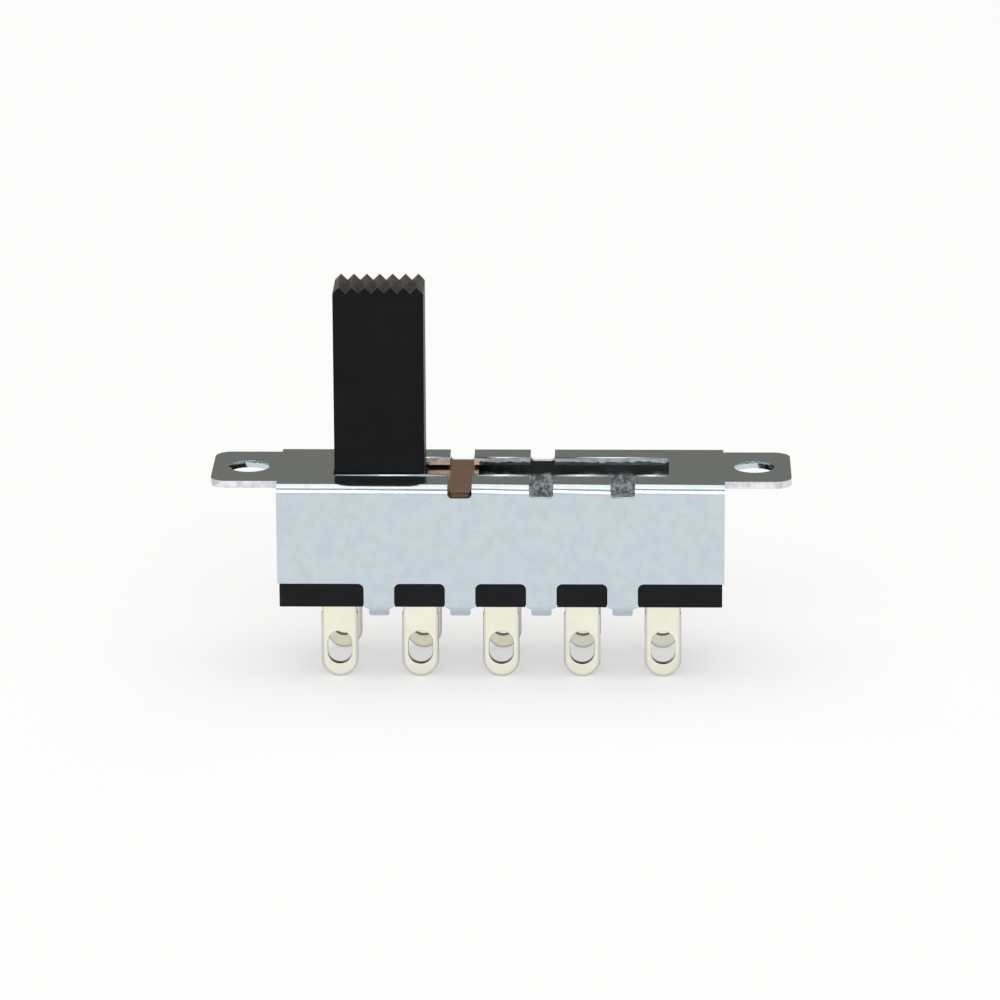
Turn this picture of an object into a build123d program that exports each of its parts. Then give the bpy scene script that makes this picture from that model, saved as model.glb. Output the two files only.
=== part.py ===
"""Slide switch: two poles, four positions, solder lugs and a tall ribbed handle.

Millimetres. X runs along the slot, +Y is the rear row of lugs, +Z is up. The origin lies midway between
the two mounting holes, on the top face of the flange. The handle stands in its first position, at -X.
"""
from build123d import *
from math import cos, radians, sin, tan
import os

# Plated steel frame: a channel with a flange ear at each end
sheet = 0.35
ear_end_margin = 1.8
ear_width = 5.2
ear_corner_r = 0.8
hole_pitch = 25.0
hole_d = 2.0
body_length = 22.0
body_width = 7.0
wall_depth = 5.0
bend_r = 0.5

# Slot, positions and detent notches
positions = 4
index_pitch = 4.0
slot_width = 3.0
slot_corner_r = 0.12
stop_gap = 0.05
notch_width = 1.2
notch_depth = 0.62
notch_corner_r = 0.2

# Crimp tabs that hold the base
tab_width = 1.5
tab_tip_width = 1.0
tab_root_r = 0.3
tab_tip_r = 0.15
tab_shoulder = 0.12
tab_prong = 0.5
tab_lean = 45.0
tab_bend_r = 0.42

# Phenolic base
base_thickness = 1.2
base_end_inset = 0.1
base_side_inset = 0.03
base_fit = 0.03

# Solder lugs with contact blades
terminals_per_row = 5
terminal_pitch = 4.0
row_spacing = 4.6
terminal_thickness = 0.4
blade_width = 2.2
blade_height = 2.75
blade_lead_in = 0.25
lug_width = 1.8
lug_length = 3.9
neck_width = 1.7
neck_length = 0.6
lug_tip_inset = 0.55
lug_tip_rise = 0.6
lug_tip_r = 0.7
eye_width = 1.2
eye_height = 1.7
eye_to_tip = 1.5
slot_fit = 0.02

# Moulded slider: handle and carriage in one piece
handle_length = 4.45
handle_depth = 2.85
handle_height = 9.5
handle_edge_r = 0.12
teeth = 7
tooth_depth = 0.32
carriage_length = 10.0
carriage_height = 2.6
carriage_gap = 0.15
carriage_edge_r = 0.2
groove_width = 0.92
blade_top_gap = 0.15

# Detent leaf on the carriage
leaf_thickness = 0.15
leaf_drop = 0.17
leaf_end_inset = 0.15
leaf_side_gap = 0.15
leaf_corner_r = 0.4
leaf_window_gap = 0.05
ear_offset = 4.0
leaf_ear_width = 1.0
leaf_ear_reach = 0.05
leaf_ear_corner_r = 0.2
leaf_ear_lift = 0.09
arm_length = 0.65
arm_drop = 0.45
relief_depth = 0.75
relief_side = 0.2

# Bridging contact clips
clip_length = 5.0
clip_thickness = 0.15
clip_gap = 0.05
clip_height = 1.45
clip_end_gap = 0.06

# Places that follow from the sizes above
EPS = 0.01
FAR = 50.0
wall_outer = body_width / 2
wall_inner = wall_outer - sheet
travel = (positions - 1) * index_pitch
rest_x = -travel / 2
slot_length = travel + handle_length + 2 * stop_gap
base_top = -wall_depth
base_bottom = base_top - base_thickness
tab_knee = base_bottom + base_fit
tab_turn = radians(tab_lean)
tab_bottom = tab_knee - tab_prong * cos(tab_turn) - sheet * sin(tab_turn)
lug_bottom = base_bottom - lug_length
plate_length = hole_pitch + 2 * ear_end_margin
leaf_top = -sheet - leaf_drop
carriage_top = leaf_top - leaf_thickness
carriage_bottom = carriage_top - carriage_height
carriage_half_width = wall_inner - carriage_gap
leaf_half_width = wall_inner - leaf_side_gap
blade_top = base_top + blade_height
groove_top = blade_top + blade_top_gap
row_y = row_spacing / 2
clip_slit = terminal_thickness + 2 * clip_gap
clip_width = clip_slit + 2 * clip_thickness
clip_top = groove_top + clip_thickness
front_notches = [rest_x + ear_offset + k * index_pitch for k in range(positions - 1)]
rear_notches = [-x for x in front_notches]
terminal_xs = [(k - (terminals_per_row - 1) / 2) * terminal_pitch for k in range(terminals_per_row)]
tab_xs = [(a + b) / 2 for a, b in zip(terminal_xs, terminal_xs[1:])]


def block(x0, x1, y0, y1, z0, z1):
    """A box between two corners."""
    centre = ((x0 + x1) / 2, (y0 + y1) / 2, (z0 + z1) / 2)
    return Pos(*centre) * Box(abs(x1 - x0), abs(y1 - y0), abs(z1 - z0))


def across(profile, y0, y1):
    """Extrude an outline drawn in X and Z along Y, from y0 to y1."""
    face = Plane((0, max(y0, y1), 0), x_dir=(1, 0, 0), z_dir=(0, -1, 0)) * profile
    return extrude(face, abs(y1 - y0))


def along(profile, x0, x1):
    """Extrude an outline drawn in Y and Z along X, from x0 to x1."""
    face = Plane((x0, 0, 0), x_dir=(0, 1, 0), z_dir=(1, 0, 0)) * profile
    return extrude(face, x1 - x0)


def round_corners(face, points, radius):
    """Round the corners of a face that lie at the given points."""
    picked = [v for v in face.vertices() if any(abs(v.X - x) + abs(v.Y - y) < EPS for x, y in points)]
    return fillet(picked, radius)


def polygon(*points):
    """A flat face with straight sides."""
    return make_face(Polyline(*points, close=True))


def channel():
    """The plate and its two walls, bent from one sheet and open at both ends."""
    outer_pts = [(-wall_outer, base_top), (wall_outer, base_top), (wall_outer, 0), (-wall_outer, 0)]
    outer = round_corners(polygon(*outer_pts), outer_pts[2:], bend_r)
    low = base_top - sheet
    inner_pts = [(-wall_inner, low), (wall_inner, low), (wall_inner, -sheet), (-wall_inner, -sheet)]
    inner = round_corners(polygon(*inner_pts), inner_pts[2:], bend_r - sheet)
    return along(outer - inner, -body_length / 2, body_length / 2)


def flange():
    """The flat plate with its rounded ears and two mounting holes."""
    outline = RectangleRounded(plate_length, ear_width, ear_corner_r)
    holes = [Pos(side * hole_pitch / 2, 0) * Circle(hole_d / 2) for side in (-1, 1)]
    return extrude(outline - holes, -sheet)


def notch(x, side):
    """The cut for one detent notch, through the strip beside the slot and down the wall."""
    top = sheet
    low = -notch_depth
    half = notch_width / 2
    pts = [(x - half, low), (x + half, low), (x + half, top), (x - half, top)]
    profile = round_corners(polygon(*pts), pts[:2], notch_corner_r)
    return across(profile, side * (slot_width / 2 - sheet), side * (wall_outer + sheet))


def tab_outline(x, grow=0.0):
    """Front outline of a crimp tab with its narrow prong, widened by grow, with flared root corners."""
    half = tab_width / 2 + grow
    tip = tab_tip_width / 2 + grow
    root = half + tab_root_r
    low = base_bottom - tab_shoulder
    pts = [(x - root, base_top - grow), (x - half, base_top - grow), (x - half, base_bottom),
           (x - tip, low), (x - tip, tab_bottom), (x + tip, tab_bottom), (x + tip, low),
           (x + half, base_bottom), (x + half, base_top - grow), (x + root, base_top - grow),
           (x + root, base_top + sheet), (x - root, base_top + sheet)]
    face = round_corners(polygon(*pts), pts[4:6], tab_tip_r)
    return round_corners(face, [pts[1], pts[8]], max(tab_root_r - grow - EPS, EPS))


def tab(x, side):
    """A crimp tab: down past the base, with its prong bent in against the base's lower edge."""
    reach = wall_inner - tab_prong * sin(tab_turn)
    drop = tab_knee - tab_prong * cos(tab_turn)
    pts = [(wall_outer, base_top + sheet), (wall_inner, base_top + sheet), (wall_inner, tab_knee),
           (reach, drop), (reach + sheet * cos(tab_turn), tab_bottom),
           (wall_outer, tab_knee - sheet * tan(tab_turn / 2))]
    pts = [(side * y, z) for y, z in pts]
    hook = round_corners(polygon(*pts), pts[5:], tab_bend_r)
    strip = along(hook, x - tab_width, x + tab_width)
    return strip & across(tab_outline(x), -wall_outer - sheet, wall_outer + sheet)


def make_frame():
    """Channel, ears and crimp tabs as one bent sheet, with the slot and the notches cut through."""
    solid = channel() + flange()
    solid += [tab(x, side) for x in tab_xs for side in (-1, 1)]
    slot = extrude(RectangleRounded(slot_length, slot_width, slot_corner_r), sheet * 2, both=True)
    solid -= slot
    solid -= [notch(x, -1) for x in front_notches]
    solid -= [notch(x, 1) for x in rear_notches]
    return solid


def make_base():
    """Phenolic board under the wall edges, with a slot for each terminal and a recess for each tab."""
    half_x = body_length / 2 - base_end_inset
    half_y = wall_outer - base_side_inset
    solid = block(-half_x, half_x, -half_y, half_y, base_bottom, base_top)
    recess_inner = wall_inner - base_fit
    recess_outer = wall_outer + sheet
    for x in tab_xs:
        for side in (-1, 1):
            solid -= across(tab_outline(x, base_fit), side * recess_inner, side * recess_outer)
    half_w = lug_width / 2 + slot_fit
    half_t = terminal_thickness / 2 + slot_fit
    for x in terminal_xs:
        for y in (-row_y, row_y):
            solid -= block(x - half_w, x + half_w, y - half_t, y + half_t,
                           base_bottom - sheet, base_top + sheet)
    return solid


def terminal_outline():
    """Half outline points of a terminal, from the blade down to the tip, mirrored to both sides."""
    shoulder = blade_width / 2
    half = lug_width / 2
    neck = neck_width / 2
    neck_low = base_bottom - neck_length
    right = [(shoulder - blade_lead_in, blade_top), (shoulder, blade_top - blade_lead_in),
             (shoulder, base_top), (half, base_top), (half, base_bottom),
             (neck, base_bottom - (half - neck)), (neck, neck_low), (half, neck_low - (half - neck)),
             (half, lug_bottom + lug_tip_rise), (half - lug_tip_inset, lug_bottom)]
    left = [(-x, z) for x, z in reversed(right)]
    return round_corners(polygon(*right, *left), right[8:] + left[:2], lug_tip_r)


def make_terminal(x, y):
    """A stamped terminal: contact blade above the base and a solder lug with an oval eye below."""
    eye = Pos(0, lug_bottom + eye_to_tip) * SlotOverall(eye_height, eye_width, rotation=90)
    stamped = Pos(x, 0) * (terminal_outline() - eye)
    return across(stamped, y - terminal_thickness / 2, y + terminal_thickness / 2)


def toothed_handle():
    """The handle block with its row of V teeth along the top."""
    half = handle_length / 2
    pitch = handle_length / teeth
    valley = handle_height - tooth_depth
    crest = []
    for k in range(teeth):
        crest += [(-half + k * pitch, valley), (-half + (k + 0.5) * pitch, handle_height)]
    crest.append((half, valley))
    profile = polygon((half, carriage_top - sheet), (-half, carriage_top - sheet), *crest)
    solid = across(profile, -handle_depth / 2, handle_depth / 2)
    uprights = [e for e in solid.edges().filter_by(Axis.Z) if e.length > handle_height / 2]
    return fillet(uprights, handle_edge_r)


def make_slider():
    """Handle and carriage as one moulding, with a groove and a clip pocket over each row of blades."""
    half_x = carriage_length / 2
    half_y = carriage_half_width
    carriage = block(-half_x, half_x, -half_y, half_y, carriage_bottom, carriage_top)
    carriage = fillet(carriage.edges().filter_by(Axis.Z), carriage_edge_r)
    for y in (-row_y, row_y):
        half_g = groove_width / 2
        carriage -= block(-FAR, FAR, y - half_g, y + half_g, carriage_bottom - sheet, groove_top)
        half_c = clip_length / 2 + clip_end_gap
        carriage -= block(-half_c, half_c, y - half_g, y + half_g, carriage_bottom - sheet, clip_top)
    for side in (-1, 1):
        x = -side * ear_offset
        half_r = leaf_ear_width / 2 + relief_side
        root = leaf_half_width - arm_length - relief_side
        carriage -= block(x - half_r, x + half_r, side * root, side * (half_y + sheet),
                          carriage_top - relief_depth, carriage_top + sheet)
    return Pos(rest_x, 0, 0) * (carriage + toothed_handle())


def raised_ear():
    """The ear that stands in a front notch: an arm that rises to a flat end with rounded corners."""
    root = arm_length - leaf_half_width
    edge = -leaf_half_width
    tip = leaf_ear_reach - wall_outer
    top = leaf_thickness + leaf_ear_lift
    pts = [(root, 0), (root, leaf_thickness), (edge, top), (tip, top),
           (tip, leaf_ear_lift), (edge, leaf_ear_lift)]
    half = leaf_ear_width / 2
    arm = along(polygon(*pts), ear_offset - half, ear_offset + half)
    ends = [e for e in arm.edges().filter_by(Axis.Z) if abs(e.center().Y - tip) < EPS]
    return fillet(ends, leaf_ear_corner_r)


def pressed_arm():
    """The matching rear ear, pressed down under the strip because no notch faces it here."""
    root = leaf_half_width - arm_length
    tip = leaf_half_width
    pts = [(root, leaf_thickness), (root, 0), (tip, -arm_drop), (tip, leaf_thickness - arm_drop)]
    half = leaf_ear_width / 2
    return along(polygon(*pts), -ear_offset - half, -ear_offset + half)


def make_leaf():
    """Flat bronze detent leaf on the carriage, with a window for the handle and an ear at two corners."""
    length = carriage_length - 2 * leaf_end_inset
    outline = RectangleRounded(length, 2 * leaf_half_width, leaf_corner_r)
    outline -= Rectangle(handle_length + 2 * leaf_window_gap, handle_depth + 2 * leaf_window_gap)
    half = leaf_ear_width / 2 + leaf_window_gap
    gap_centre = leaf_half_width - arm_length / 2
    gap = Rectangle(2 * half, arm_length + sheet)
    for side in (-1, 1):
        outline -= Pos(-side * ear_offset, side * (gap_centre + sheet / 2)) * gap
    leaf = extrude(outline, leaf_thickness) + raised_ear() + pressed_arm()
    return Pos(rest_x, 0, carriage_top) * leaf


def make_clip(y):
    """Phosphor bronze clip, folded over the blades of one row so that it bridges two of them."""
    half_x = clip_length / 2
    half_w = clip_width / 2
    half_s = clip_slit / 2
    low = clip_top - clip_height
    pts = [(-half_w, low), (-half_w, clip_top), (half_w, clip_top), (half_w, low),
           (half_s, low), (half_s, groove_top), (-half_s, groove_top), (-half_s, low)]
    profile = round_corners(polygon(*pts), pts[1:3], clip_thickness)
    return Pos(rest_x, y, 0) * along(profile, -half_x, half_x)


def build():
    """Every node of the switch by name."""
    nodes = {
        "frame": make_frame(),
        "base_board": make_base(),
        "slider": make_slider(),
        "detent_leaf": make_leaf(),
        "contact_clip_front": make_clip(-row_y),
        "contact_clip_rear": make_clip(row_y),
    }
    for k, x in enumerate(terminal_xs, start=1):
        nodes[f"terminal_front_{k}"] = make_terminal(x, -row_y)
        nodes[f"terminal_rear_{k}"] = make_terminal(x, row_y)
    return nodes


os.makedirs("parts", exist_ok=True)
for name, shape in build().items():
    export_step(shape, f"parts/{name}.step")
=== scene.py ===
"""Looks of the slide switch: zinc plated frame, ribbed black handle, phenolic base and plated solder lugs."""
import math

import bmesh
import bpy
from mathutils import Matrix, Vector


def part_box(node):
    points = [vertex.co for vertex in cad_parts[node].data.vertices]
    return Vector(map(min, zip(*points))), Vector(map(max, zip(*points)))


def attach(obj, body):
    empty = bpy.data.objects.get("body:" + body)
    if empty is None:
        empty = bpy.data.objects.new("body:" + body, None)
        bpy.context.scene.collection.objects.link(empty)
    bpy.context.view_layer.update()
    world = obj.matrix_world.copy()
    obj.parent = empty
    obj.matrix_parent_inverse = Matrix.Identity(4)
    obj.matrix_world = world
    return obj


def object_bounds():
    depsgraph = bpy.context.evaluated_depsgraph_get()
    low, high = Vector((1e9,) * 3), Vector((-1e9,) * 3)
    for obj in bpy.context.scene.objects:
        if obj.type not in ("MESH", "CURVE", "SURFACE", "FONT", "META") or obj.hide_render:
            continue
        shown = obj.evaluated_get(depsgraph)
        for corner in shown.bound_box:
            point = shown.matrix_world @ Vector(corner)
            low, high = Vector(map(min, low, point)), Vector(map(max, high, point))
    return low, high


bl_info = {
    "name": "Slide Switch",
    "version": (1, 0, 0),
    "blender": (4, 5, 0),
    "location": "3D View > Sidebar > Switch",
    "description": "Finishes and studio for a slide switch with solder lugs",
    "category": "Object",
}

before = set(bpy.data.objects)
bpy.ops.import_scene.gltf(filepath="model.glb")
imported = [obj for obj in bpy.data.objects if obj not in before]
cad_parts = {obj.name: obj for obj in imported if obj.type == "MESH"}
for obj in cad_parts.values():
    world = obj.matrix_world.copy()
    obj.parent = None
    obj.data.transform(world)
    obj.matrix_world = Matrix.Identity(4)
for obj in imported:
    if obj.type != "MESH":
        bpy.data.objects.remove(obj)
CAD_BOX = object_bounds()
CLIPS = sorted(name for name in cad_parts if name.startswith("contact_clip_"))
LUGS = sorted(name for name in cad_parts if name.startswith("terminal_"))
MM = 0.001

# Where the steel frame's finishes, painted shade and painted light change: X and Y from its middle, Z from
# the flange's top face
SKIN = 0.01 * MM
INSIDE_HALF_WIDTH = 3.2 * MM
INSIDE_FLOOR = -5.1 * MM
# Painted shade: inside the channel the plating is darkened from these heights down, where the top strips
# shade the walls
UNDER_SHADE_START = -0.36 * MM
UNDER_SHADE_FULL = -0.5 * MM
# Below these heights the inner walls are dull, and their pale colour is painted light falling through the
# slot
DULL_LIT_START = -1.2 * MM
DULL_LIT_FULL = -1.45 * MM
SLOT_HALF_WIDTH = 1.6 * MM
SLOT_HALF_LENGTH = 9.0 * MM
LIP_DEPTH = 0.2 * MM
EAR_START = 11.05 * MM
EAR_RIM_Y = 1.2 * MM
EAR_RIM_X = 13.8 * MM
EAR_UNDERSIDE = -0.34 * MM
WALL_EDGE_INNER = 3.16 * MM
WALL_EDGE_OUTER = 3.49 * MM
WALL_EDGE_LOW = -5.95 * MM
WALL_EDGE_HIGH = -0.45 * MM

# Lighter grey rib tops, measured down from the top of the handle, and how far they reach from its middle
RIB_START = 0.42 * MM
RIB_FULL = 0.3 * MM
RIB_HALF_DEPTH = 1.38 * MM

# Sizes that the leaf's tips with painted shade, the lugs' grey rims of painted shade and the slot's ridge
# follow
LEAF_TIP_Y = 3.1 * MM
LUG_WIDTH = 1.8 * MM
LUG_PITCH = 4.0 * MM
LUG_RIM = 0.17 * MM
NOTCHES_PER_SIDE = 3

# Clean-up and edge rolling of the CAD's meshes
WELD_DISTANCE = 1e-6
FLAT_ANGLE = math.radians(0.3)
SHARP_ANGLE = math.radians(35.0)

# Each lamp's name, place, two side lengths and power in watts
LAMPS = (
    ("overhead", (0.0, 0.13, 0.5), (0.75, 0.73), 2.1),
    ("front", (0.0, -0.5, 0.33), (0.55, 0.26), 1.15),
)

# Camera sensor, and where the surroundings change along Z and Y of the direction
SENSOR_MM = 36.0
PALE_SOFTNESS = 0.05
BACK_FULL = 0.15
FRONT_FULL = -0.35

# Sockets of the Mix node when it mixes colours
MIX_A, MIX_B, MIX_RESULT = 6, 7, 2


def colour(name, description, value):
    """A colour setting."""
    return bpy.props.FloatVectorProperty(
        name=name, description=description, default=value, size=3, min=0.0, max=1.0, subtype="COLOR")


def length(name, description, value):
    """A length setting, in metres."""
    return bpy.props.FloatProperty(
        name=name, description=description, default=value, min=0.0, unit="LENGTH", precision=6)


def angle(name, description, degrees):
    """An angle setting, shown in degrees."""
    return bpy.props.FloatProperty(
        name=name, description=description, default=math.radians(degrees), unit="ROTATION")


def factor(name, description, value):
    """A plain number from 0 to 1."""
    return bpy.props.FloatProperty(
        name=name, description=description, default=value, min=0.0, max=1.0, subtype="FACTOR")


class SWITCH_PG_finish(bpy.types.PropertyGroup):
    """Colours and polish of each finish."""
    zinc: colour("Zinc", "Bright zinc plating", (0.593, 0.666, 0.712))
    zinc_shade: colour("Zinc shade", "Darker spangles of the plating", (0.545, 0.625, 0.675))
    # Partly real dull plating and partly painted light: the pale colour stands in for light falling through
    # the slot onto the lower inner walls
    lit_inner_zinc: colour("Inner zinc", "Dull plating inside the channel", (0.9, 0.97, 1.0))
    inner_shade: colour("Inner shade", "Darker spangles inside the channel", (0.3, 0.34, 0.38))
    # Painted shade: this dark colour stands in for the shade on the inner walls just under the top strips
    shaded_under_zinc: colour("Under zinc", "Tarnished plating just below the top", (0.27, 0.3, 0.28))
    cut_zinc: colour("Cut zinc", "Sheared edges of the sheet", (0.82, 0.835, 0.86))
    zinc_roughness: factor("Zinc roughness", "Polish of the plating", 0.13)
    phenolic: colour("Phenolic", "Base board", (0.0045, 0.0042, 0.0058))
    chip: colour("Chip", "Small pale chips in the board", (0.1, 0.092, 0.08))
    moulding: colour("Moulding", "Handle and carriage", (0.0024, 0.0026, 0.0031))
    # Lighter grey on the rib tops of the handle
    rib_grey: colour("Rubbed ribs", "Worn ribs on top of the handle", (0.085, 0.077, 0.068))
    bronze: colour("Bronze", "Detent leaf and clips", (0.50, 0.275, 0.18))
    plating: colour("Plating", "Solder lugs", (0.90, 0.89, 0.76))
    plating_shade: colour("Plating shade", "Duller patches on the lugs", (0.85, 0.83, 0.68))
    warm_plating: colour("Warm plating", "Yellower areas on the lugs", (0.91, 0.88, 0.68))
    # Painted shade: a grey band along each lug's sides and tip, standing in for the shade on its rounded
    # edges
    lug_rim_shade: colour("Lug rim", "Rolled border around each lug", (0.6, 0.6, 0.58))
    # Partly real, partly painted shade: sheared brass on the cut edges, also laid over the rounding of the
    # faces as a darker outline
    lug_edge_and_shade: colour("Lug edge", "Sheared brass edges of the lugs", (0.42, 0.38, 0.29))


class SWITCH_PG_edges(bpy.types.PropertyGroup):
    """How far each piece's edges are rolled or broken."""
    rolled: length("Rolled edge", "Edge rounding of the stamped sheet", 0.00007)
    moulded: length("Moulded edge", "Edge rounding of the moulding", 0.00006)
    sawn: length("Board edge", "Edge rounding of the board", 0.00004)
    stamped: length("Stamped edge", "Edge rounding of the lugs", 0.00008)
    fine: length("Fine edge", "Edge rounding of the leaf and clips", 0.00002)


class SWITCH_PG_burr(bpy.types.PropertyGroup):
    """The fine ridge that the punch leaves along the slot."""
    radius: length("Radius", "Half width of the ridge", 0.00005)
    slot_width: length("Slot width", "Width of the slot", 0.003)
    slot_length: length("Slot length", "Length of the slot", 0.01655)
    notch_width: length("Notch width", "Width of a detent notch", 0.0012)
    notch_pitch: length("Notch pitch", "Distance between notches", 0.004)
    first_notch: length("First notch", "From the middle to the notch nearest it", 0.002)


class SWITCH_PG_stage(bpy.types.PropertyGroup):
    """Camera, floor and light."""
    distance: length("Distance", "Camera to the aim point", 0.3)
    aim: bpy.props.FloatVectorProperty(
        name="Aim", description="Point the camera looks at", default=(-0.0000925, 0.0, -0.0017259),
        size=3, subtype="TRANSLATION", unit="LENGTH", precision=6)
    azimuth: angle("Azimuth", "Camera's turn about the upright axis", -1.336)
    elevation: angle("Elevation", "Camera's height as an angle", 16.583)
    roll: angle("Roll", "Camera's roll", -0.267)
    focal: bpy.props.FloatProperty(
        name="Focal length", description="Lens, in millimetres, on a 36 mm sensor", default=217.8)
    floor_colour: colour("Floor", "Plain pale floor", (0.95, 0.95, 0.95))
    floor_radius: length("Floor radius", "How far the floor reaches", 1.2)
    dim: colour("Dim surroundings", "Surroundings behind", (0.225, 0.215, 0.188))
    pale: colour("Pale surroundings", "Surroundings in front, up to the pale limit", (0.9, 0.9, 0.9))
    high: colour("High surroundings", "Surroundings in front, above the pale limit", (0.5, 0.5, 0.5))
    pale_limit: angle("Pale limit", "How high the pale surroundings reach", 40.0)
    floor_glow: factor("Floor glow", "Share of the floor's white that takes no shadow", 0.55)


def shade(colour, share):
    """A colour darkened or lightened to a share of itself."""
    return tuple(part * share for part in colour)


class Nodes:
    """A material's node tree, with one short call for each kind of node."""

    def __init__(self, name):
        self.material = bpy.data.materials.new(name)
        self.material.use_nodes = True
        self.tree = self.material.node_tree
        self.shader = self.tree.nodes["Principled BSDF"]
        coordinates = self.tree.nodes.new("ShaderNodeTexCoord").outputs
        self.place = coordinates["Object"]
        self.normal = coordinates["Normal"]

    def fill(self, socket, value):
        """Feed an input from another socket, or set it to a plain value."""
        if isinstance(value, bpy.types.NodeSocket):
            self.tree.links.new(value, socket)
        else:
            socket.default_value = value

    def set(self, name, value):
        """Feed or set an input of the shader."""
        self.fill(self.shader.inputs[name], value)

    def axes(self, vector):
        """X, Y and Z of a vector."""
        split = self.tree.nodes.new("ShaderNodeSeparateXYZ")
        self.fill(split.inputs["Vector"], vector)
        return split.outputs

    def stretched(self, scale):
        """Object coordinates scaled apart along X, Y and Z."""
        node = self.tree.nodes.new("ShaderNodeMapping")
        node.inputs["Scale"].default_value = scale
        self.fill(node.inputs["Vector"], self.place)
        return node.outputs["Vector"]

    def noise(self, scale, detail=3.0, roughness=0.5, vector=None):
        """Fractal noise from 0 to 1, on Object coordinates unless a vector is given."""
        node = self.tree.nodes.new("ShaderNodeTexNoise")
        node.inputs["Scale"].default_value = scale
        node.inputs["Detail"].default_value = detail
        node.inputs["Roughness"].default_value = roughness
        self.fill(node.inputs["Vector"], vector or self.place)
        return node.outputs["Fac"]

    def ramp(self, value, low, high, start=0.0, end=1.0):
        """Start where the value is at low, end where it is at high, and even between them."""
        node = self.tree.nodes.new("ShaderNodeMapRange")
        node.inputs["From Min"].default_value = low
        node.inputs["From Max"].default_value = high
        self.fill(node.inputs["To Min"], start)
        self.fill(node.inputs["To Max"], end)
        self.fill(node.inputs["Value"], value)
        return node.outputs["Result"]

    def mix(self, share, a, b):
        """Mix of two colours, each of them plain or a socket."""
        node = self.tree.nodes.new("ShaderNodeMix")
        node.data_type = "RGBA"
        self.fill(node.inputs["Factor"], share)
        for index, value in ((MIX_A, a), (MIX_B, b)):
            plain = not isinstance(value, bpy.types.NodeSocket)
            self.fill(node.inputs[index], (*value, 1.0) if plain else value)
        return node.outputs[MIX_RESULT]

    def math(self, operation, *values):
        """Result of one operation on numbers or sockets."""
        node = self.tree.nodes.new("ShaderNodeMath")
        node.operation = operation
        for socket, value in zip(node.inputs, values):
            self.fill(socket, value)
        return node.outputs[0]

    def absolute(self, value):
        return self.math("ABSOLUTE", value)

    def above(self, value, limit):
        return self.math("GREATER_THAN", value, limit)

    def below(self, value, limit):
        return self.math("LESS_THAN", value, limit)

    def both(self, a, b):
        return self.math("MULTIPLY", a, b)

    def either(self, a, b):
        return self.math("MAXIMUM", a, b)

    def between(self, value, low, high):
        """1 where a value lies between two limits."""
        return self.both(self.above(value, low), self.below(value, high))

    def ragged(self, value, scale, reach):
        """A value made uneven by up to a reach either way, so that a limit on it has a ragged border."""
        uneven = self.ramp(self.noise(scale=scale), low=0.3, high=0.7, start=-reach, end=reach)
        return self.math("ADD", value, uneven)

    def inside(self, start, full):
        """1 inside the channel below one height, fading to 0 at a start above it."""
        place = self.axes(self.place)
        middle = self.below(self.absolute(place["Y"]), INSIDE_HALF_WIDTH)
        channel = self.both(middle, self.above(place["Z"], INSIDE_FLOOR))
        height = self.ragged(place["Z"], scale=1500.0, reach=0.12 * MM)
        return self.both(channel, self.ramp(height, low=start, high=full))

    def sheared(self):
        """1 on the sheet's cut edges: slot and notches, ears, and the walls' own edges."""
        x, y, z = self.axes(self.place)
        wide = self.absolute(x)
        deep = self.absolute(y)
        height = self.ragged(z, scale=2600.0, reach=0.07 * MM)
        slot = self.both(self.below(deep, SLOT_HALF_WIDTH), self.below(wide, SLOT_HALF_LENGTH))
        lip = self.both(self.below(z, -SKIN), self.above(height, -LIP_DEPTH))
        ears = self.both(self.above(wide, EAR_START), self.between(z, EAR_UNDERSIDE, -SKIN))
        rim = self.either(self.above(deep, EAR_RIM_Y), self.above(wide, EAR_RIM_X))
        walls = self.both(self.between(deep, WALL_EDGE_INNER, WALL_EDGE_OUTER),
                          self.between(z, WALL_EDGE_LOW, WALL_EDGE_HIGH))
        return self.either(self.both(slot, lip), self.either(self.both(ears, rim), walls))

    def ribs(self):
        """1 on the ribbed top of the handle, 0 below it."""
        place = self.axes(self.place)
        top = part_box("slider")[1].z
        high = self.ramp(place["Z"], low=top - RIB_START, high=top - RIB_FULL)
        return self.both(high, self.below(self.absolute(place["Y"]), RIB_HALF_DEPTH))

    def turned_from_y(self):
        """0 on faces that look along Y, 1 on the edges around them."""
        along_y = self.absolute(self.axes(self.normal)["Y"])
        return self.ramp(along_y, low=0.99, high=0.8)

    # Mask of the painted shade along each lug's sides and tip
    def lug_rim_shade(self):
        """1 along the sides and round tip of each lug, fading to 0 inwards."""
        place = self.axes(self.place)
        half_width = LUG_WIDTH / 2
        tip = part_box(LUGS[0])[0].z
        across = self.math("WRAP", place["X"], LUG_PITCH / 2, -LUG_PITCH / 2)
        down = self.math("MINIMUM", self.math("SUBTRACT", place["Z"], tip + half_width), 0.0)
        square = self.math("ADD", self.math("MULTIPLY", across, across), self.math("MULTIPLY", down, down))
        return self.ramp(self.math("SQRT", square), low=half_width - LUG_RIM, high=half_width - LUG_RIM / 3)

    def bump(self, height, strength, distance):
        """Bend the shader's normal by a height."""
        node = self.tree.nodes.new("ShaderNodeBump")
        node.inputs["Strength"].default_value = strength
        node.inputs["Distance"].default_value = distance
        self.fill(node.inputs["Height"], height)
        self.set("Normal", node.outputs["Normal"])

    def white_for_camera(self, share):
        """Mix a share of plain white into what camera, glossy and transmission rays see."""
        rays = self.tree.nodes.new("ShaderNodeLightPath").outputs
        seen = self.either(rays["Is Camera Ray"], rays["Is Glossy Ray"])
        seen = self.either(seen, rays["Is Transmission Ray"])
        glow = self.tree.nodes.new("ShaderNodeEmission")
        mixed = self.tree.nodes.new("ShaderNodeMixShader")
        self.fill(mixed.inputs["Fac"], self.math("MULTIPLY", seen, share))
        self.fill(mixed.inputs[1], self.shader.outputs["BSDF"])
        self.fill(mixed.inputs[2], glow.outputs["Emission"])
        self.fill(self.tree.nodes["Material Output"].inputs["Surface"], mixed.outputs["Shader"])


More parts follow.
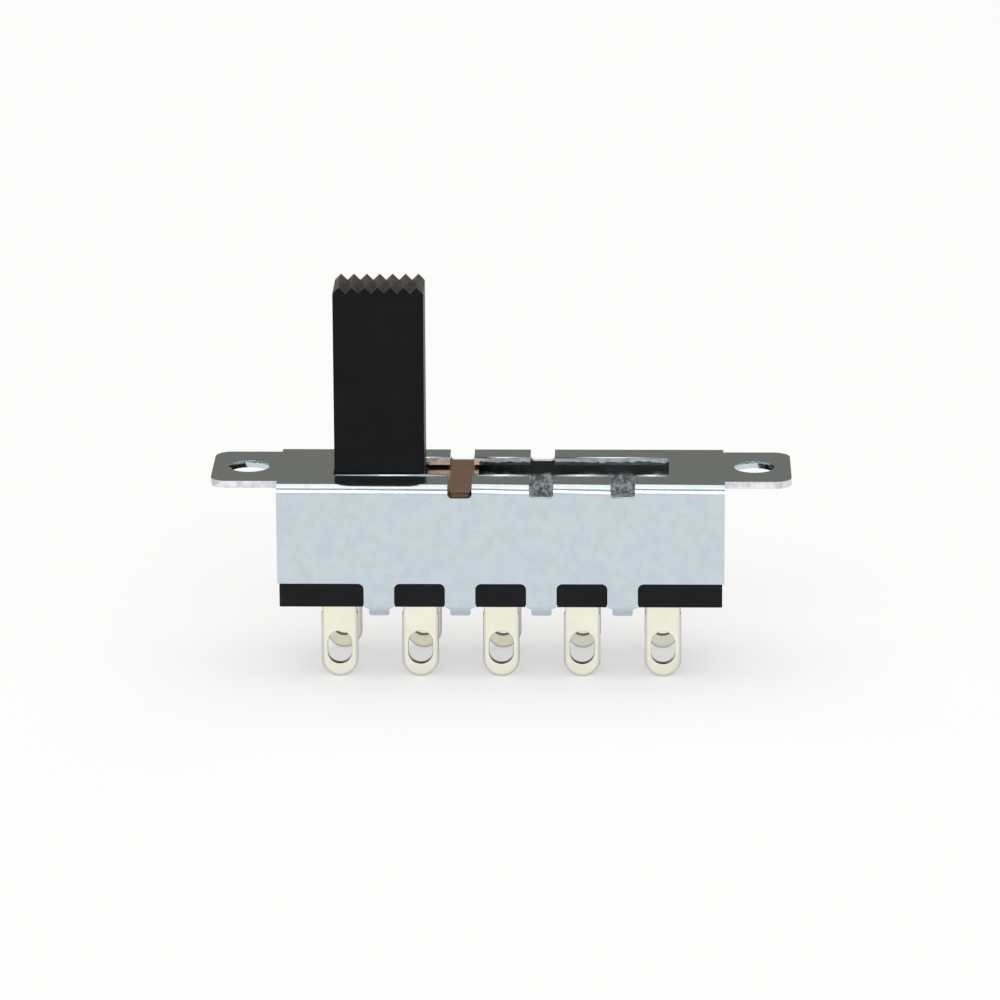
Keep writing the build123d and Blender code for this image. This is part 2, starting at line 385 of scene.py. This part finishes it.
def zinc_material(finish):
    """Bright zinc on steel: near mirror, with faint spangle and an orange-peel surface; inside the channel,
    painted shade darkens it just below the top and painted light brightens its dull plating lower down.
    """
    n = Nodes("zinc_plating")
    # Dull plating inside the channel below a height, made pale with painted light where light through the
    # slot falls
    inside = n.inside(start=DULL_LIT_START, full=DULL_LIT_FULL)
    # Painted shade on the inner walls just below the top
    under_shade = n.inside(start=UNDER_SHADE_START, full=UNDER_SHADE_FULL)
    sheared = n.sheared()
    spangle = n.ramp(n.noise(scale=1900.0, detail=4.0, roughness=0.6), low=0.38, high=0.64)
    outer = n.mix(spangle, finish.zinc, finish.zinc_shade)
    mottle = n.ramp(n.noise(scale=4200.0, detail=4.0, roughness=0.7), low=0.44, high=0.58)
    inner = n.mix(mottle, finish.lit_inner_zinc, finish.inner_shade)
    grain = n.ramp(n.noise(scale=2500.0), low=0.4, high=0.65)
    cut = n.mix(grain, finish.cut_zinc, shade(finish.cut_zinc, share=0.72))
    plated = n.mix(inside, n.mix(under_shade, outer, finish.shaded_under_zinc), inner)
    n.set("Base Color", n.mix(sheared, plated, cut))
    n.set("Metallic", 1.0)
    rough = finish.zinc_roughness
    polish = n.ramp(n.noise(scale=5200.0), low=0.3, high=0.7, start=rough * 0.75, end=rough * 1.5)
    n.set("Roughness", n.ramp(n.either(inside, sheared), low=0.0, high=1.0, start=polish, end=0.6))
    n.bump(n.noise(scale=3600.0, detail=2.0), strength=0.09, distance=0.02 * MM)
    return n.material


def phenolic_material(finish):
    """Black paper-phenolic board: matt, with fine fibre streaks along its length and a few pale chips."""
    n = Nodes("black_phenolic")
    fibre = n.noise(scale=1.0, detail=4.0, roughness=0.6, vector=n.stretched(scale=(700.0, 2600.0, 6500.0)))
    board = n.mix(n.ramp(fibre, low=0.45, high=0.75), finish.phenolic, shade(finish.phenolic, share=2.2))
    chips = n.ramp(n.noise(scale=1700.0, detail=1.0), low=0.78, high=0.82)
    n.set("Base Color", n.mix(chips, board, finish.chip))
    n.set("Roughness", n.ramp(fibre, low=0.3, high=0.7, start=0.5, end=0.68))
    n.set("Specular IOR Level", 0.15)
    n.bump(fibre, strength=0.25, distance=0.02 * MM)
    return n.material


def moulding_material(finish):
    """Black moulded plastic with a fine satin texture, lighter grey on the ribs."""
    n = Nodes("black_moulding")
    cloud = n.ramp(n.noise(scale=900.0), low=0.35, high=0.7)
    plain = n.mix(cloud, finish.moulding, shade(finish.moulding, share=1.7))
    grain = n.ramp(n.noise(scale=3600.0, detail=4.0, roughness=0.7), low=0.4, high=0.6)
    rib_grey = n.mix(grain, finish.rib_grey, shade(finish.rib_grey, share=0.3))
    n.set("Base Color", n.mix(n.ribs(), plain, rib_grey))
    satin = n.ramp(n.noise(scale=7000.0, detail=2.0), low=0.3, high=0.7, start=0.36, end=0.5)
    n.set("Roughness", satin)
    n.set("Specular IOR Level", 0.12)
    n.bump(n.noise(scale=16000.0, detail=2.0), strength=0.12, distance=0.01 * MM)
    return n.material


def bronze_material(finish):
    """Rolled phosphor bronze with streaks from the rolling, and painted shade darkening the leaf's tips."""
    n = Nodes("phosphor_bronze")
    streak = n.noise(scale=1.0, detail=2.0, vector=n.stretched(scale=(700.0, 2400.0, 2400.0)))
    sheet = n.mix(n.ramp(streak, low=0.35, high=0.7), finish.bronze, shade(finish.bronze, share=0.93))
    # Painted shade: the leaf's tips are darkened where they sit in the frame's notches
    shaded_tip = n.mix(n.noise(scale=3000.0), shade(finish.bronze, share=0.3), shade(finish.bronze, share=0.22))
    tip = n.above(n.absolute(n.axes(n.place)["Y"]), LEAF_TIP_Y)
    n.set("Base Color", n.mix(tip, sheet, shaded_tip))
    n.set("Metallic", 1.0)
    n.set("Roughness", n.ramp(streak, low=0.3, high=0.7, start=0.2, end=0.3))
    n.bump(streak, strength=0.02, distance=0.01 * MM)
    return n.material


def plating_material(finish):
    """Silvery plated brass lugs: satin, with warmer dull patches, a grey rim of painted shade, and brass
    edges with painted shade on their rounding.
    """
    n = Nodes("lug_plating")
    patch = n.ramp(n.noise(scale=620.0), low=0.42, high=0.66)
    fresh = n.mix(patch, finish.plating, finish.plating_shade)
    warm = n.ramp(n.noise(scale=210.0, detail=1.0), low=0.5, high=0.66)
    # Painted shade: grey band along the lugs' sides and tip
    flat = n.mix(n.lug_rim_shade(), n.mix(warm, fresh, finish.warm_plating), finish.lug_rim_shade)
    # Sheared brass on the cut edges, with painted shade on the rounded edges around the faces
    edge = n.mix(n.noise(scale=1800.0), finish.lug_edge_and_shade, shade(finish.lug_edge_and_shade, share=0.7))
    n.set("Base Color", n.mix(n.turned_from_y(), flat, edge))
    n.set("Metallic", 1.0)
    n.set("Roughness", n.ramp(n.noise(scale=1500.0), low=0.3, high=0.7, start=0.27, end=0.36))
    n.bump(n.noise(scale=900.0, detail=1.0), strength=0.03, distance=0.02 * MM)
    return n.material


def dress(node, material, edge, segments=2):
    """Give a node its finish, and roll its sharp edges."""
    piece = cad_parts[node]
    piece.data.materials.clear()
    piece.data.materials.append(material)
    weld = piece.modifiers.new("weld", "WELD")
    weld.merge_threshold = WELD_DISTANCE
    flat = piece.modifiers.new("flat", "DECIMATE")
    flat.decimate_type = "DISSOLVE"
    flat.angle_limit = FLAT_ANGLE
    roll = piece.modifiers.new("roll", "BEVEL")
    roll.width = edge
    roll.segments = segments
    roll.limit_method = "ANGLE"
    roll.angle_limit = SHARP_ANGLE
    roll.harden_normals = True


def slot_runs(burr, side):
    """Ends along X of the straight slot edges between the notches of one side."""
    half = burr.notch_width / 2 + burr.radius
    end = burr.slot_length / 2 - burr.radius * 2
    notches = sorted(side * (burr.first_notch - burr.notch_pitch * k) for k in range(NOTCHES_PER_SIDE))
    starts = [-end] + [x + half for x in notches]
    stops = [x - half for x in notches] + [end]
    return list(zip(starts, stops))


class SWITCH_OT_frame(bpy.types.Operator):
    """Zinc plated frame with rolled sheet edges"""
    bl_idname = "switch.frame"
    bl_label = "Frame"

    def execute(self, context):
        scene = context.scene
        dress("frame", zinc_material(scene.switch_finish), scene.switch_edges.rolled, segments=3)
        return {"FINISHED"}


class SWITCH_OT_burr(bpy.types.Operator):
    """Fine ridge along the edges of the slot, in the frame's plating, so it comes after the frame"""
    bl_idname = "switch.burr"
    bl_label = "Slot Burr"

    def execute(self, context):
        burr = context.scene.switch_burr
        bm = bmesh.new()
        for side in (-1, 1):
            for start, stop in slot_runs(burr, side):
                middle = ((start + stop) / 2, side * (burr.slot_width / 2 + burr.radius), 0.0)
                place = Matrix.Translation(middle) @ Matrix.Rotation(math.pi / 2, 4, "Y")
                bmesh.ops.create_cone(bm, cap_ends=True, segments=16, radius1=burr.radius,
                                      radius2=burr.radius, depth=stop - start, matrix=place)
        mesh = bpy.data.meshes.new("slot_burr")
        bm.to_mesh(mesh)
        bm.free()
        mesh.shade_smooth()
        mesh.materials.append(bpy.data.materials["zinc_plating"])
        ridge = bpy.data.objects.new("slot_burr", mesh)
        context.collection.objects.link(ridge)
        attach(ridge, "housing")
        return {"FINISHED"}


class SWITCH_OT_base(bpy.types.Operator):
    """Black phenolic base board"""
    bl_idname = "switch.base"
    bl_label = "Base Board"

    def execute(self, context):
        scene = context.scene
        dress("base_board", phenolic_material(scene.switch_finish), scene.switch_edges.sawn)
        return {"FINISHED"}


class SWITCH_OT_slider(bpy.types.Operator):
    """Black handle and carriage"""
    bl_idname = "switch.slider"
    bl_label = "Handle and Carriage"

    def execute(self, context):
        scene = context.scene
        dress("slider", moulding_material(scene.switch_finish), scene.switch_edges.moulded)
        return {"FINISHED"}


class SWITCH_OT_springs(bpy.types.Operator):
    """Bronze detent leaf and contact clips"""
    bl_idname = "switch.springs"
    bl_label = "Leaf and Clips"

    def execute(self, context):
        scene = context.scene
        bronze = bronze_material(scene.switch_finish)
        for node in ["detent_leaf"] + CLIPS:
            dress(node, bronze, scene.switch_edges.fine)
        return {"FINISHED"}


class SWITCH_OT_lugs(bpy.types.Operator):
    """Ten plated solder lugs"""
    bl_idname = "switch.lugs"
    bl_label = "Solder Lugs"

    def execute(self, context):
        scene = context.scene
        plating = plating_material(scene.switch_finish)
        for node in LUGS:
            dress(node, plating, scene.switch_edges.stamped)
        return {"FINISHED"}


def make_floor(stage):
    """A round pale floor under the lug tips."""
    mesh = bpy.data.meshes.new("floor")
    bm = bmesh.new()
    bmesh.ops.create_circle(bm, cap_ends=True, segments=96, radius=stage.floor_radius)
    bmesh.ops.translate(bm, verts=bm.verts, vec=(0.0, 0.0, CAD_BOX[0][2]))
    bm.to_mesh(mesh)
    bm.free()
    floor = bpy.data.objects.new("floor", mesh)
    bpy.context.collection.objects.link(floor)
    n = Nodes("floor_paper")
    n.set("Base Color", n.mix(n.noise(scale=4.0), stage.floor_colour, shade(stage.floor_colour, share=0.985)))
    n.set("Roughness", 0.9)
    n.set("Specular IOR Level", 0.1)
    n.white_for_camera(stage.floor_glow)
    mesh.materials.append(n.material)


def make_world(stage):
    """Soft surroundings: pale in front up to a limit, greyer above it, and dim behind."""
    world = bpy.data.worlds.new("studio")
    bpy.context.scene.world = world
    world.use_nodes = True
    tree = world.node_tree
    background = tree.nodes["Background"]
    place = tree.nodes.new("ShaderNodeTexCoord")
    split = tree.nodes.new("ShaderNodeSeparateXYZ")
    tree.links.new(place.outputs["Generated"], split.inputs["Vector"])

    def fade(axis, full, none):
        """1 at full and 0 at none, along one axis of the direction."""
        node = tree.nodes.new("ShaderNodeMapRange")
        node.interpolation_type = "SMOOTHSTEP"
        node.inputs["From Min"].default_value = none
        node.inputs["From Max"].default_value = full
        tree.links.new(split.outputs[axis], node.inputs["Value"])
        return node.outputs["Result"]

    def mix_node(share, colour):
        """A Mix node whose second colour is set, and whose first is left to the caller."""
        node = tree.nodes.new("ShaderNodeMix")
        node.data_type = "RGBA"
        node.inputs[MIX_B].default_value = (*colour, 1.0)
        tree.links.new(share, node.inputs["Factor"])
        return node

    limit = math.sin(stage.pale_limit)
    front = mix_node(fade("Z", full=limit - PALE_SOFTNESS, none=limit + PALE_SOFTNESS), stage.pale)
    front.inputs[MIX_A].default_value = (*stage.high, 1.0)
    back = mix_node(fade("Y", full=BACK_FULL, none=FRONT_FULL), stage.dim)
    tree.links.new(front.outputs[MIX_RESULT], back.inputs[MIX_A])
    tree.links.new(back.outputs[MIX_RESULT], background.inputs["Color"])


def make_lamp(name, place, size, power):
    """An oblong soft lamp that faces the switch."""
    data = bpy.data.lights.new(name, "AREA")
    data.shape = "RECTANGLE"
    data.size, data.size_y = size
    data.energy = power
    lamp = bpy.data.objects.new(name, data)
    bpy.context.collection.objects.link(lamp)
    lamp.location = place
    lamp.rotation_euler = Vector(place).to_track_quat("Z", "Y").to_euler()


def make_camera(stage):
    """A long lens from the front, a little above."""
    data = bpy.data.cameras.new("camera")
    data.lens = stage.focal
    data.sensor_width = SENSOR_MM
    data.clip_start = 0.01
    camera = bpy.data.objects.new("camera", data)
    bpy.context.collection.objects.link(camera)
    turn = Matrix.Rotation(-stage.azimuth, 4, "Z") @ Matrix.Rotation(math.pi / 2 - stage.elevation, 4, "X")
    turn = turn @ Matrix.Rotation(stage.roll, 4, "Z")
    back = turn @ Vector((0.0, 0.0, stage.distance))
    camera.matrix_world = Matrix.Translation(Vector(stage.aim) + back) @ turn
    bpy.context.scene.camera = camera


class SWITCH_OT_stage(bpy.types.Operator):
    """Floor, soft light and camera"""
    bl_idname = "switch.stage"
    bl_label = "Stage"

    def execute(self, context):
        stage = context.scene.switch_stage
        make_floor(stage)
        make_world(stage)
        for lamp in LAMPS:
            make_lamp(*lamp)
        make_camera(stage)
        context.scene.view_settings.view_transform = "Standard"
        return {"FINISHED"}


GROUPS = {
    "switch_finish": SWITCH_PG_finish,
    "switch_edges": SWITCH_PG_edges,
    "switch_burr": SWITCH_PG_burr,
    "switch_stage": SWITCH_PG_stage,
}
OPERATORS = (SWITCH_OT_stage, SWITCH_OT_frame, SWITCH_OT_burr, SWITCH_OT_base, SWITCH_OT_slider,
             SWITCH_OT_springs, SWITCH_OT_lugs)


class SWITCH_PT_panel(bpy.types.Panel):
    """A button for each operator and every setting"""
    bl_idname = "SWITCH_PT_panel"
    bl_label = "Slide Switch"
    bl_space_type = "VIEW_3D"
    bl_region_type = "UI"
    bl_category = "Switch"

    def draw(self, context):
        for operator in OPERATORS:
            self.layout.operator(operator.bl_idname)
        for group in GROUPS:
            settings = getattr(context.scene, group)
            for name in settings.__annotations__:
                self.layout.prop(settings, name)


def register():
    for group, settings in GROUPS.items():
        bpy.utils.register_class(settings)
        setattr(bpy.types.Scene, group, bpy.props.PointerProperty(type=settings))
    for operator in OPERATORS:
        bpy.utils.register_class(operator)
    bpy.utils.register_class(SWITCH_PT_panel)


def unregister():
    bpy.utils.unregister_class(SWITCH_PT_panel)
    for operator in reversed(OPERATORS):
        bpy.utils.unregister_class(operator)
    for group, settings in GROUPS.items():
        delattr(bpy.types.Scene, group)
        bpy.utils.unregister_class(settings)


def main():
    """Run every operator."""
    register()
    bpy.ops.switch.stage()
    bpy.ops.switch.frame()
    bpy.ops.switch.burr()
    bpy.ops.switch.base()
    bpy.ops.switch.slider()
    bpy.ops.switch.springs()
    bpy.ops.switch.lugs()


if __name__ == "__main__":
    main()
